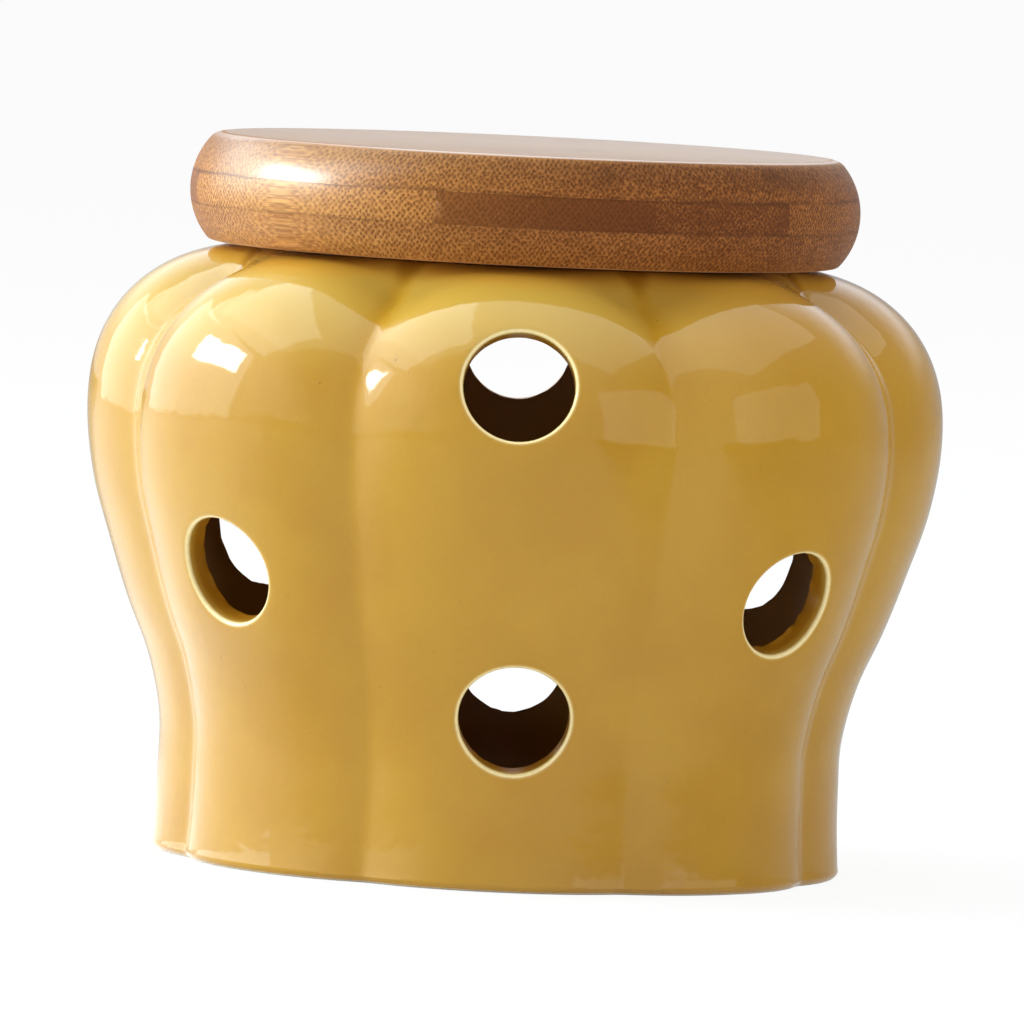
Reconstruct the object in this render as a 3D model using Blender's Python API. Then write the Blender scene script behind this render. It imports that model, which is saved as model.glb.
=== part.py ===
"""Garlic keeper: a fluted, glazed pot with round air vents, closed by a laminated bamboo lid.

The pot stands on the XY plane with its axis on +Z, and its front is turned to -Y. The lid's
plies are strips of bamboo glued edge to edge. A smaller ply under the lid drops into the
pot's mouth, and a silicone ring on its neck holds the lid there. The lid lifts off along +Z
and turns about it.
"""

import math

import bmesh
import bpy
import numpy as np
from mathutils import Matrix, Vector

MM = 0.001

# Fits
JOINT_GAP = 0.3 * MM  # a glue line, and any place where two pieces touch
SEAL_GAP = 0.3 * MM  # from the seal's lips to the mouth, and from its bore to the neck
PLUG_CLEARANCE = 2.5 * MM  # from the plug to the mouth, for the seal's lips to fill
SEAL_SLACK = 0.8 * MM  # by how much the seal is shorter than its neck
CUT_OVERRUN = 2.0 * MM  # how far a cutter runs past the face that it cuts
SAME_PLACE = 0.1 * MM  # points of an outline that are closer than this are one
CUT_TOLERANCE = 0.000001 * MM

# Pot, measured up the middle of a lobe
SHOULDER_HEIGHT = 26.7 * MM  # from the belly up to the rim
BELLY_RADIUS = 70.2 * MM
BELLY_HEIGHT = 73.0 * MM
POT_HEIGHT = BELLY_HEIGHT + SHOULDER_HEIGHT
WAIST_RADIUS = 55.9 * MM
WAIST_HEIGHT = 14.0 * MM
FOOT_RADIUS = 56.6 * MM
MOUTH_RADIUS = 44.0 * MM
WALL = 4.0 * MM
FLOOR = 5.0 * MM
FOOT_EDGE = 1.5 * MM
FOOT_RING_WIDTH = 5.5 * MM
FOOT_RECESS = 1.5 * MM
RIM_EDGE = 1.2 * MM
FLOOR_CORNER = 6.0 * MM
SHOULDER_RUN_IN = 5.2 * MM  # how far inside the mouth's edge the shoulder's curve would end level
SHOULDER_POWER = 2.3  # 2 is an ellipse, and more is squarer

# From the waist to the belly: how far up, and how much of the swell is reached there
SWELL_SHARES = ((0.0, 0.0), (0.14, 0.01), (0.3, 0.165), (0.45, 0.425), (0.6, 0.645), (0.8, 0.9), (1.0, 1.0))

# Lobes, and the grooves between them
LOBES = 8
FOOT_GROOVE = 2.2 * MM
BELLY_GROOVE = 3.6 * MM
SHOULDER_GROOVE = 4.8 * MM
LOBE_POWER = 2.4  # 2 is a round lobe, and more is flatter in the middle
VALLEY_SHARE = 0.06  # how much of half a lobe the soft bottom of a groove takes
GROOVE_WAY_SHARES = (0.0, 0.25, 0.64, 0.84, 0.93, 1.0)  # foot, waist, belly, shoulder, where the lid's edge is, rim
GROOVE_DEPTHS = (FOOT_GROOVE, FOOT_GROOVE, BELLY_GROOVE, SHOULDER_GROOVE, SHOULDER_GROOVE, 0)

# Vents, drilled by hand, so none is quite where its pattern puts it
VENT_RADIUS = 8.9 * MM
VENT_EDGE = 0.9 * MM
HIGH_VENT_RISE = 8.5 * MM  # above the belly
LOW_VENT_RISE = 13.8 * MM  # above the waist
SIDE_VENT_RISE = 34.0 * MM  # above the waist
HAND_SLIP = 0.6 * MM
HIGH_VENT = BELLY_HEIGHT + HIGH_VENT_RISE
LOW_VENT = WAIST_HEIGHT + LOW_VENT_RISE
SIDE_VENT = WAIST_HEIGHT + SIDE_VENT_RISE
VENTS = (  # turned from the front and tipped down from square to the wall, in degrees, and height
    (0.4, 1.0, HIGH_VENT + HAND_SLIP),
    (2.2, -3.0, LOW_VENT),
    (-44.7, 0.0, SIDE_VENT + HAND_SLIP),
    (45.0, 0.0, SIDE_VENT - HAND_SLIP),
    (180.0, 15.0, HIGH_VENT),
    (178.5, 0.0, LOW_VENT + HAND_SLIP),
    (136.9, 0.0, SIDE_VENT - HAND_SLIP),
    (-135.8, 0.0, SIDE_VENT),
)

# Lid
LID_OVERHANG = 10.9 * MM  # past the mouth
BOTTOM_PLY = 6.2 * MM
CORE_PLY = 5.2 * MM
TOP_PLY = 6.3 * MM
LID_RADIUS = MOUTH_RADIUS + LID_OVERHANG
LID_HEIGHT = BOTTOM_PLY + CORE_PLY + TOP_PLY
LID_WIDEST_SHARE = 0.486  # of the lid's height, where its side stands out furthest
LID_ARC_SHARE = 0.706  # of the lid's height, the radius of its rounded side
LID_TOP_EDGE = 3.0 * MM
LID_BOTTOM_EDGE = 1.5 * MM
FIBRE_TURN = -45.8  # degrees from +X to the way the bamboo's fibres run

# Seams between a ply's strips, across the fibres, as shares of the lid's radius or the plug's
TOP_SEAM_SHARES = (-0.512, -0.024, 0.464)
CORE_SEAM_SHARES = (-0.607, -0.118, 0.37, 0.858)
BOTTOM_SEAM_SHARES = (-0.694, -0.206, 0.282, 0.77)
PLUG_SEAM_SHARES = (-0.581, 0.065, 0.711)

# Plug and seal
PLUG_FLANGE = 3.2 * MM  # the plug's thickness below its neck
PLUG_EDGE = 1.0 * MM
NECK_HEIGHT = 4.7 * MM
NECK_DEPTH = 2.1 * MM
PLUG_RADIUS = MOUTH_RADIUS - PLUG_CLEARANCE
PLUG_HEIGHT = NECK_HEIGHT + JOINT_GAP + PLUG_FLANGE
SEAL_HEIGHT = NECK_HEIGHT - SEAL_SLACK
SEAL_WALL = 1.5 * MM
LIP_THICKNESS = 0.7 * MM
LIP_RISE = 0.5 * MM
LIP_SHARES = (0.3, 0.62)  # the lips' places up the seal

# Facets
LOBE_COLUMNS = 8
COLUMN_CROWDING = 0.45  # 0 spaces a lobe's columns evenly, and more draws them to the grooves
OUTER_ROWS = 20
INNER_ROWS = 12
VENT_SIDES = 24
LID_SIDES = 64
SEAL_SIDES = 48
ARC_STEPS = 3
LID_SIDE_STEPS = 9
CURVE_SAMPLES = 160
SMOOTH_ANGLE = math.radians(35)

# Colours, as linear light
GLAZE = (0.49, 0.26, 0.045)
BAMBOO = (0.36, 0.16, 0.055)
SILICONE = (0.78, 0.77, 0.72)


def clear_scene():
    for thing in list(bpy.data.objects):
        bpy.data.objects.remove(thing, do_unlink=True)


def material(name, colour, roughness, coat=0.0):
    made = bpy.data.materials.new(name)
    made.use_nodes = True
    shader = made.node_tree.nodes["Principled BSDF"]
    shader.inputs["Base Color"].default_value = (*colour, 1.0)
    shader.inputs["Roughness"].default_value = roughness
    shader.inputs["Metallic"].default_value = 0.0
    shader.inputs["Coat Weight"].default_value = coat
    made.diffuse_color = (*colour, 1.0)
    return made


def add_object(name, bm, finish=None, parent=None):
    """Turns a bmesh into a smooth-shaded object, whose place is given from its parent's."""
    mesh = bpy.data.meshes.new(name)
    bm.to_mesh(mesh)
    bm.free()
    mesh.shade_smooth()
    mesh.set_sharp_from_angle(angle=SMOOTH_ANGLE)
    made = bpy.data.objects.new(name, mesh)
    bpy.context.scene.collection.objects.link(made)
    if finish:
        mesh.materials.append(finish)
    made.parent = parent
    return made


def level_curve(knots, x):
    """Reads at x the smooth curve through the knots, which starts and ends level."""
    inner = [(b[1] - a[1]) / (b[0] - a[0]) for a, b in zip(knots, knots[2:])]
    slopes = [0.0, *inner, 0.0]
    x = min(max(x, knots[0][0]), knots[-1][0])
    i = next(i for i in range(len(knots) - 1) if x <= knots[i + 1][0])
    (x0, y0), (x1, y1) = knots[i : i + 2]
    span = x1 - x0
    t = (x - x0) / span
    rise = y0 + (y1 - y0) * (3 - 2 * t) * t**2
    return rise + span * (slopes[i] * t * (1 - t) ** 2 - slopes[i + 1] * (1 - t) * t**2)


def arc(centre, radius, start, stop, steps=ARC_STEPS):
    """(radius, height) points of an arc, with angles in degrees from the outward direction."""
    turns = [math.radians(start + (stop - start) * i / steps) for i in range(steps + 1)]
    return [(centre[0] + radius * math.cos(a), centre[1] + radius * math.sin(a)) for a in turns]


def polar(turn, radius, height):
    """A point that is turned from the front, -Y, towards +X."""
    return Vector((radius * math.sin(turn), -radius * math.cos(turn), height))


def loft(rings):
    """A closed body through rings of equally many points, from its underside round to its inside."""
    bm = bmesh.new()
    rows = [[bm.verts.new(point) for point in ring] for ring in rings]
    count = len(rows[0])
    for low, high in zip(rows, rows[1:]):
        for i in range(count):
            j = (i + 1) % count
            bm.faces.new((low[i], low[j], high[j], high[i]))
    bm.faces.new(reversed(rows[0]))
    bm.faces.new(rows[-1])
    return bm


# The pot's wall


def wall_curve():
    """Radius and height up the middle of a lobe, closely spaced from the foot to the mouth."""
    heights = np.linspace(FOOT_EDGE, BELLY_HEIGHT, CURVE_SAMPLES)
    swell = (BELLY_RADIUS - WAIST_RADIUS) * np.array(
        [level_curve(SWELL_SHARES, (z - WAIST_HEIGHT) / (BELLY_HEIGHT - WAIST_HEIGHT)) for z in heights]
    )
    flare = (FOOT_RADIUS - WAIST_RADIUS) * np.clip(1 - heights / WAIST_HEIGHT, 0, None) ** 2
    centre = MOUTH_RADIUS + RIM_EDGE - SHOULDER_RUN_IN
    reach = BELLY_RADIUS - centre
    turns = np.linspace(0, math.acos((SHOULDER_RUN_IN / reach) ** (SHOULDER_POWER / 2)), CURVE_SAMPLES)
    out = np.cos(turns[1:]) ** (2 / SHOULDER_POWER)
    up = np.sin(turns[1:]) ** (2 / SHOULDER_POWER)
    radii = np.concatenate([WAIST_RADIUS + swell + flare, centre + reach * out])
    heights = np.concatenate([heights, BELLY_HEIGHT + (POT_HEIGHT - BELLY_HEIGHT) * up / up[-1]])
    return radii, heights


WALL_RADII, WALL_HEIGHTS = wall_curve()
WALL_LENGTHS = np.concatenate([[0], np.cumsum(np.hypot(np.diff(WALL_RADII), np.diff(WALL_HEIGHTS)))])
WALL_LENGTH = WALL_LENGTHS[-1]
GROOVE_KNOTS = tuple(zip(GROOVE_WAY_SHARES, GROOVE_DEPTHS))


def groove_share(turn):
    """0 over the middle of a lobe, and 1 at the bottom of the groove between two lobes."""
    from_middle = abs((turn * LOBES / math.tau + 0.5) % 1 - 0.5) * 2
    rounded = math.hypot(1 - from_middle, VALLEY_SHARE) - VALLEY_SHARE
    whole = math.hypot(1, VALLEY_SHARE) - VALLEY_SHARE
    return (1 - rounded / whole) ** LOBE_POWER


def wall_point(length, turn, depth=0):
    """The point on the wall this length up from the foot, this deep under its outer face."""
    radius = np.interp(length, WALL_LENGTHS, WALL_RADII)
    height = np.interp(length, WALL_LENGTHS, WALL_HEIGHTS)
    reach = WALL_LENGTH / CURVE_SAMPLES
    ends = [min(max(length + side, 0), WALL_LENGTH) for side in (-reach, reach)]
    run, rise = (np.diff(np.interp(ends, WALL_LENGTHS, line))[0] for line in (WALL_RADII, WALL_HEIGHTS))
    across, along = rise / math.hypot(run, rise), -run / math.hypot(run, rise)
    sunk = depth + groove_share(turn) * level_curve(GROOVE_KNOTS, length / WALL_LENGTH)
    return polar(turn, radius - sunk * across, height - sunk * along)


def length_at(height):
    """The length up the wall at which the middle of a lobe reaches this height."""
    return float(np.interp(height, WALL_HEIGHTS, WALL_LENGTHS))


def column_turns():
    """The turns of the wall's columns, which crowd towards the grooves."""
    turns = []
    for lobe in range(LOBES):
        for k in range(LOBE_COLUMNS):
            even = 2 * k / LOBE_COLUMNS - 1
            crowded = (1 - COLUMN_CROWDING) * even + COLUMN_CROWDING * math.sin(even * math.pi / 2)
            turns.append(math.tau * (lobe + crowded / 2) / LOBES)
    return turns


def ring_inside(ring, inset, height):
    """A level ring this far inside another one."""
    moved = []
    for point in ring:
        radius = math.hypot(point.x, point.y)
        share = (radius - inset) / radius
        moved.append(Vector((point.x * share, point.y * share, height)))
    return moved


def pot_rings():
    turns = column_turns()
    lengths = [WALL_LENGTH * row / OUTER_ROWS for row in range(OUTER_ROWS + 1)]
    outer = [[wall_point(length, turn) for turn in turns] for length in lengths]
    foot = outer[0]
    recess_radius = FOOT_RADIUS - FOOT_GROOVE - FOOT_EDGE - FOOT_RING_WIDTH
    under = [[polar(turn, recess_radius - FOOT_RECESS, FOOT_RECESS) for turn in turns]]
    under.append([polar(turn, recess_radius, 0) for turn in turns])
    for inset, height in arc((-FOOT_EDGE, FOOT_EDGE), FOOT_EDGE, -90, 0)[:-1]:
        under.append(ring_inside(foot, -inset, height))
    rim_centre = (MOUTH_RADIUS + RIM_EDGE, POT_HEIGHT - RIM_EDGE)
    bore_end = (MOUTH_RADIUS + RIM_EDGE, POT_HEIGHT - WALL + RIM_EDGE)
    rim = arc(rim_centre, RIM_EDGE, 90, 180)[1:] + arc(bore_end, RIM_EDGE, 180, 270)
    mouth = [[polar(turn, radius, height) for turn in turns] for radius, height in rim]
    floor_height = FOOT_RECESS + FLOOR
    floor_length = length_at(floor_height + FLOOR_CORNER)
    inner = []
    for row in range(1, INNER_ROWS + 1):
        length = WALL_LENGTH + (floor_length - WALL_LENGTH) * row / INNER_ROWS
        inner.append([wall_point(length, turn, WALL) for turn in turns])
    corner = arc((-FLOOR_CORNER, floor_height + FLOOR_CORNER), FLOOR_CORNER, 0, -90)[1:]
    floor = [ring_inside(inner[-1], -inset, height) for inset, height in corner]
    return under + outer + mouth + inner + floor


def vent_cutter(bm, turn, tip, height):
    """Adds a drill of VENT_RADIUS that flares where it leaves the wall's outer face."""
    length = length_at(height)
    middle = wall_point(length, turn)
    across = Vector((math.cos(turn), math.sin(turn), 0))
    up = (wall_point(length + VENT_EDGE, turn) - wall_point(length - VENT_EDGE, turn)).normalized()
    up.rotate(Matrix.Rotation(tip, 3, across))
    out = across.cross(up)
    reach = VENT_RADIUS + VENT_EDGE
    radius_here = math.hypot(middle.x, middle.y)
    rings = [[], [], []]
    for side in range(VENT_SIDES):
        way = math.tau * side / VENT_SIDES
        spoke = across * math.cos(way) + up * math.sin(way)
        spot = length + reach * math.sin(way), turn + reach * math.cos(way) / radius_here
        outer = (wall_point(*spot) - middle).dot(out)
        inner = (wall_point(*spot, WALL) - middle).dot(out)
        radii = VENT_RADIUS, VENT_RADIUS, reach + CUT_OVERRUN
        depths = inner - CUT_OVERRUN, outer - VENT_EDGE, outer + CUT_OVERRUN
        for ring, radius, depth in zip(rings, radii, depths):
            ring.append(bm.verts.new(middle + spoke * radius + out * depth))
    for low, high in zip(rings, rings[1:]):
        for i in range(VENT_SIDES):
            j = (i + 1) % VENT_SIDES
            bm.faces.new((low[i], low[j], high[j], high[i]))
    for ring in (rings[0][::-1], rings[-1]):
        hub = bm.verts.new(sum((vert.co for vert in ring), Vector()) / VENT_SIDES)
        for i in range(VENT_SIDES):
            bm.faces.new((ring[i], ring[(i + 1) % VENT_SIDES], hub))


def make_pot():
    pot = add_object("pot", loft(pot_rings()), material("yellow_glaze", GLAZE, 0.12, coat=1.0))
    bm = bmesh.new()
    for turn, tip, height in VENTS:
        vent_cutter(bm, math.radians(turn), math.radians(tip), height)
    cutter = add_object("vent_cutter", bm)
    cutter.hide_render = True
    cutter.display_type = "WIRE"
    cut = pot.modifiers.new("vents", "BOOLEAN")
    cut.operation = "DIFFERENCE"
    cut.solver = "EXACT"
    cut.object = cutter


# The lid


def lid_side():
    """(radius, height) points of the lid's edge, from its underside up to its flat top."""
    bulge = LID_HEIGHT * LID_ARC_SHARE
    centre = (LID_RADIUS - bulge, LID_HEIGHT * LID_WIDEST_SHARE)
    low_centre = edge_centre(centre, bulge - LID_BOTTOM_EDGE, LID_BOTTOM_EDGE)
    high_centre = edge_centre(centre, bulge - LID_TOP_EDGE, LID_HEIGHT - LID_TOP_EDGE)
    low_turn = slope_between(centre, low_centre)
    high_turn = slope_between(centre, high_centre)
    side = arc(centre, bulge, low_turn, high_turn, LID_SIDE_STEPS)
    under = arc(low_centre, LID_BOTTOM_EDGE, -90, low_turn)
    top = arc(high_centre, LID_TOP_EDGE, high_turn, 90)
    return under[:-1] + side + top[1:]


def edge_centre(centre, reach, height):
    """The point at this height and this far from the side's centre, where an edge rounding has its own."""
    return centre[0] + math.sqrt(reach**2 - (height - centre[1]) ** 2), height


def slope_between(start, end):
    return math.degrees(math.atan2(end[1] - start[1], end[0] - start[0]))


def slice_of(outline, low, high):
    """The part of a rising outline between two heights, with points put in at both."""
    heights = [height for _, height in outline]
    radii = [radius for radius, _ in outline]
    ends = [(float(np.interp(height, heights, radii)), height) for height in (low, high)]
    inside = [point for point in outline if low + SAME_PLACE < point[1] < high - SAME_PLACE]
    return [ends[0], *inside, ends[1]]


def turned_body(outline, sides):
    """A closed body whose outline runs up its outer side, with flat ends."""
    turns = [math.tau * side / sides for side in range(sides)]
    return loft([[polar(turn, radius, height) for turn in turns] for radius, height in outline])


def cut_away(bm, place, direction):
    """Cuts off what lies past a plane, and closes the cut."""
    cut = bmesh.ops.bisect_plane(
        bm,
        geom=bm.verts[:] + bm.edges[:] + bm.faces[:],
        dist=CUT_TOLERANCE,
        plane_co=direction * place,
        plane_no=direction,
        clear_outer=True,
    )
    edges = [item for item in cut["geom_cut"] if isinstance(item, bmesh.types.BMEdge)]
    bmesh.ops.edgeloop_fill(bm, edges=edges)


def make_ply(name, outline, seams, tints, parent):
    """Cuts a turned ply into strips along the fibres, counted from the right back to the left front."""
    across = Matrix.Rotation(math.radians(FIBRE_TURN - 90), 3, "Z") @ Vector((1, 0, 0))
    for number, (start, end) in enumerate(zip([None, *seams], [*seams, None])):
        bm = turned_body(outline, LID_SIDES)
        if end is not None:
            cut_away(bm, end - JOINT_GAP / 2, across)
        if start is not None:
            cut_away(bm, -start - JOINT_GAP / 2, -across)
        bmesh.ops.recalc_face_normals(bm, faces=bm.faces)
        strip_name = f"{name}_strip_{number + 1}"
        colour = tuple(channel * tints[number] for channel in BAMBOO)
        add_object(strip_name, bm, material(strip_name + "_bamboo", colour, 0.42), parent)


def make_lid(parent):
    side = lid_side()
    half = JOINT_GAP / 2
    core_top = BOTTOM_PLY + CORE_PLY
    bottom = slice_of(side, 0, BOTTOM_PLY - half)
    core = slice_of(side, BOTTOM_PLY + half, core_top - half)
    top = slice_of(side, core_top + half, LID_HEIGHT)
    plies = (
        ("lid_bottom", bottom, BOTTOM_SEAM_SHARES, (1.0, 1.15, 0.9, 1.1, 0.95)),
        ("lid_core", core, CORE_SEAM_SHARES, (1.0, 1.15, 0.8, 0.85, 1.2)),
        ("lid_top", top, TOP_SEAM_SHARES, (1.0, 0.9, 1.1, 0.95)),
    )
    for name, outline, shares, tints in plies:
        make_ply(name, outline, [LID_RADIUS * share for share in shares], tints, parent)


def make_plug(parent):
    neck = PLUG_RADIUS - NECK_DEPTH
    edge = arc((PLUG_RADIUS - PLUG_EDGE, PLUG_EDGE - PLUG_HEIGHT), PLUG_EDGE, -90, 0)
    step = -NECK_HEIGHT - JOINT_GAP
    outline = [*edge, (PLUG_RADIUS, step), (neck, step), (neck, -JOINT_GAP)]
    seams = [PLUG_RADIUS * share for share in PLUG_SEAM_SHARES]
    make_ply("lid_plug", outline, seams, (1.0, 1.1, 0.95, 1.05), parent)


def make_seal(parent):
    """A band round the plug's neck, with lips that reach out to the mouth."""
    bore = PLUG_RADIUS - NECK_DEPTH + SEAL_GAP
    band = bore + SEAL_WALL
    lip = MOUTH_RADIUS - SEAL_GAP
    bottom = -NECK_HEIGHT
    outline = [(bore, bottom), (band, bottom)]
    for share in LIP_SHARES:
        root = bottom + SEAL_HEIGHT * share
        outline += [(band, root - LIP_THICKNESS / 2), (lip, root - LIP_THICKNESS / 2 + LIP_RISE)]
        outline += [(lip, root + LIP_THICKNESS / 2 + LIP_RISE), (band, root + LIP_THICKNESS / 2)]
    outline += [(band, bottom + SEAL_HEIGHT), (bore, bottom + SEAL_HEIGHT)]
    turns = [math.tau * side / SEAL_SIDES for side in range(SEAL_SIDES)]
    bm = bmesh.new()
    rows = [[bm.verts.new(polar(turn, *point)) for turn in turns] for point in outline]
    for low, high in zip(rows, rows[1:] + rows[:1]):
        for i in range(SEAL_SIDES):
            j = (i + 1) % SEAL_SIDES
            bm.faces.new((low[i], low[j], high[j], high[i]))
    add_object("seal_ring", bm, material("silicone", SILICONE, 0.45), parent)


def main():
    clear_scene()
    make_pot()
    lid_axis = bpy.data.objects.new("lid_axis", None)
    lid_axis.location = (0, 0, POT_HEIGHT + JOINT_GAP)
    bpy.context.scene.collection.objects.link(lid_axis)
    make_lid(lid_axis)
    make_plug(lid_axis)
    make_seal(lid_axis)


main()
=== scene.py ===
"""Looks of the garlic keeper: a fluted, vented pot in mustard glaze under a laminated bamboo lid.

Everything is in metres, with +Z up and the pot's front turned to -Y. Turns run from the front
towards +X, so a point at a turn is (radius * sin, -radius * cos, height).
"""

import math

import bmesh
import bpy
import numpy as np
from mathutils import Matrix, Vector


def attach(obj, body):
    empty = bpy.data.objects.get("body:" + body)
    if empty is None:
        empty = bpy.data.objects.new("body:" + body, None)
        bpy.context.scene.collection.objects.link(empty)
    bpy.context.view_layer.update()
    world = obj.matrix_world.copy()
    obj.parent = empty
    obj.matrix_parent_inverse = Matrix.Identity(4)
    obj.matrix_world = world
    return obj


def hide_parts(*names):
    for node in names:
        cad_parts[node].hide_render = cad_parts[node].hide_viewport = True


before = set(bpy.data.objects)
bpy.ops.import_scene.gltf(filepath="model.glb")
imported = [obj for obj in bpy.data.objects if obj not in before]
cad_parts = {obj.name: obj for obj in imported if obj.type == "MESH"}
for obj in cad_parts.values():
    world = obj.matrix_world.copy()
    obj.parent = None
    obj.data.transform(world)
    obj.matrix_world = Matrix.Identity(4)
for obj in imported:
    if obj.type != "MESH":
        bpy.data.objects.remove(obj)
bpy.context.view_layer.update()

MM = 0.001

# Pot, measured up the middle of a lobe
SHOULDER_HEIGHT = 26.7 * MM
BELLY_RADIUS = 70.1 * MM
BELLY_HEIGHT = 73.0 * MM
POT_HEIGHT = BELLY_HEIGHT + SHOULDER_HEIGHT
WAIST_RADIUS = 55.9 * MM
WAIST_HEIGHT = 14.0 * MM
FOOT_RADIUS = 56.6 * MM
MOUTH_RADIUS = 44.0 * MM
WALL = 4.0 * MM
FLOOR_HEIGHT = 6.5 * MM
FLOOR_CORNER = 6.0 * MM
FOOT_EDGE = 1.5 * MM
FOOT_RING_WIDTH = 5.5 * MM
FOOT_RECESS = 1.5 * MM
BARE_HEIGHT = 0.3 * MM
RIM_EDGE = 1.2 * MM
SHOULDER_RUN_IN = 5.2 * MM
SHOULDER_POWER = 2.3

# Way up from the waist to the belly, and how much of its swell the wall has there
SWELL_SHARES = (
    (0.0, 0.0),
    (0.14, 0.01),
    (0.3, 0.165),
    (0.45, 0.425),
    (0.6, 0.645),
    (0.8, 0.9),
    (1.0, 1.0),
)

# Lobes, and the grooves between them: way up the wall, and depth
LOBES = 8
LOBE_POWER = 2.4
VALLEY_SHARE = 0.045
FOOT_GROOVE = 2.2 * MM
GROOVE_KNOTS = (
    (0.0, FOOT_GROOVE),
    (0.25, FOOT_GROOVE),
    (0.64, 3.6 * MM),
    (0.84, 4.8 * MM),
    (0.93, 4.8 * MM),
    (1.0, 0.0),
)

# Vents: turned and tipped down in degrees, height, and how ragged the edge inside is
VENT_RADIUS = 8.9 * MM
VENT_EDGE = 0.9 * MM
VENTS = (
    (0.4, 1.0, 82.1 * MM, 0.05 * MM),
    (2.2, -3.0, 27.8 * MM, 0.06 * MM),
    (-44.7, 0.0, 48.6 * MM, 0.26 * MM),
    (45.0, 0.0, 47.4 * MM, 0.3 * MM),
    (180.0, 15.0, 81.5 * MM, 0.1 * MM),
    (178.5, 0.0, 28.4 * MM, 0.12 * MM),
    (136.9, 0.0, 47.4 * MM, 0.2 * MM),
    (-135.8, 0.0, 48.0 * MM, 0.15 * MM),
)

# Waves of the chips round a vent's edge inside, and how much of its raggedness each is
CHIP_WAVES = range(3, 30)
CHIP_SHARE = 0.4

# Lid
LID_BASE = 100.0 * MM
LID_RADIUS = 54.9 * MM
BOTTOM_PLY = 6.2 * MM
CORE_PLY = 5.2 * MM
TOP_PLY = 6.3 * MM
LID_HEIGHT = BOTTOM_PLY + CORE_PLY + TOP_PLY
LID_WIDEST = 0.486 * LID_HEIGHT
LID_BULGE = 0.706 * LID_HEIGHT
LID_TOP_EDGE = 3.0 * MM
LID_BOTTOM_EDGE = 1.5 * MM
GLUE_LINE = 0.03 * MM
SEAM = 0.02 * MM
FIBRE_TURN = math.radians(-45.8)
PLUG_RADIUS = 41.5 * MM
PLUG_HEIGHT = 8.2 * MM
PLUG_EDGE = 1.0 * MM
NECK_HEIGHT = 4.7 * MM
NECK_DEPTH = 2.1 * MM
NECK_CLEARANCE = 0.3 * MM

# Strips of each ply: where one starts across the ply as a share of its radius, its slot, its tone,
# and where along it in millimetres it has a knuckle, which is far off the lid if it has none
NO_KNUCKLE = 300.0
STRIPS = {
    "bottom": (
        (None, "mid", 0.45, NO_KNUCKLE),
        (-0.694, "light", 0.5, 8.0),
        (-0.206, "mid", 0.42, NO_KNUCKLE),
        (0.282, "light", 0.5, -30.0),
        (0.77, "mid", 0.5, NO_KNUCKLE),
    ),
    "core": (
        (None, "mid", 0.45, NO_KNUCKLE),
        (-0.607, "light", 0.55, NO_KNUCKLE),
        (-0.118, "dark", 0.12, NO_KNUCKLE),
        (0.37, "dark", -0.25, NO_KNUCKLE),
        (0.858, "light", 0.75, NO_KNUCKLE),
    ),
    "top": (
        (None, "mid", 0.42, -22.0),
        (-0.512, "light", 0.5, 54.0),
        (-0.024, "mid", 0.45, 17.0),
        (0.464, "light", 0.5, 47.0),
    ),
    "plug": (
        (None, "mid", 0.45, NO_KNUCKLE),
        (-0.581, "light", 0.52, NO_KNUCKLE),
        (0.065, "mid", 0.4, -14.0),
        (0.711, "light", 0.5, NO_KNUCKLE),
    ),
}

# Seal, whose lips have a tip that is round for so many degrees up and down
SEAL_BORE = 39.7 * MM
SEAL_BAND = 41.2 * MM
SEAL_LIP = 43.7 * MM
SEAL_HEIGHT = 3.9 * MM
SEAL_EDGE = 0.25 * MM
LIP_THICKNESS = 0.7 * MM
LIP_RISE = 0.5 * MM
LIP_ROUND = 80
LIP_SHARES = (0.3, 0.62)

# Fineness
LOBE_COLUMNS = 44
COLUMN_CROWDING = 0.45
WALL_ROWS = 96
CURVE_SAMPLES = 600
WINDOW_COLUMNS = 20
WINDOW_ROWS = 24
WINDOW_RINGS = 8
BORE_RINGS = 4
BORE_CROWDING = 0.7
DRILL_STEPS = 24
RECESS_PITCH = 6.0 * MM
RECESS_RINGS = 7
FOOT_STEPS = 4
FLOOR_STEPS = 7
CORNER_STEPS = 8
EDGE_STEPS = 6
UNDER_RIM_STEPS = 4
LID_SIDES = 240
LID_SIDE_STEPS = 24
LID_TOP_STEPS = 10
SEAL_STEPS = 3
NEAREST_TO_CUT = 0.1 * MM
SAME_PLACE = 1e-9
LEVEL_FACE = 0.999
SHARP = math.radians(38)

# How thin the glaze is on the way over a vent's rounded edge into its bore
THIN_GLAZE = (0.15, 1.0, 1.0, 0.7, 0.1)


# Node trees


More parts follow.
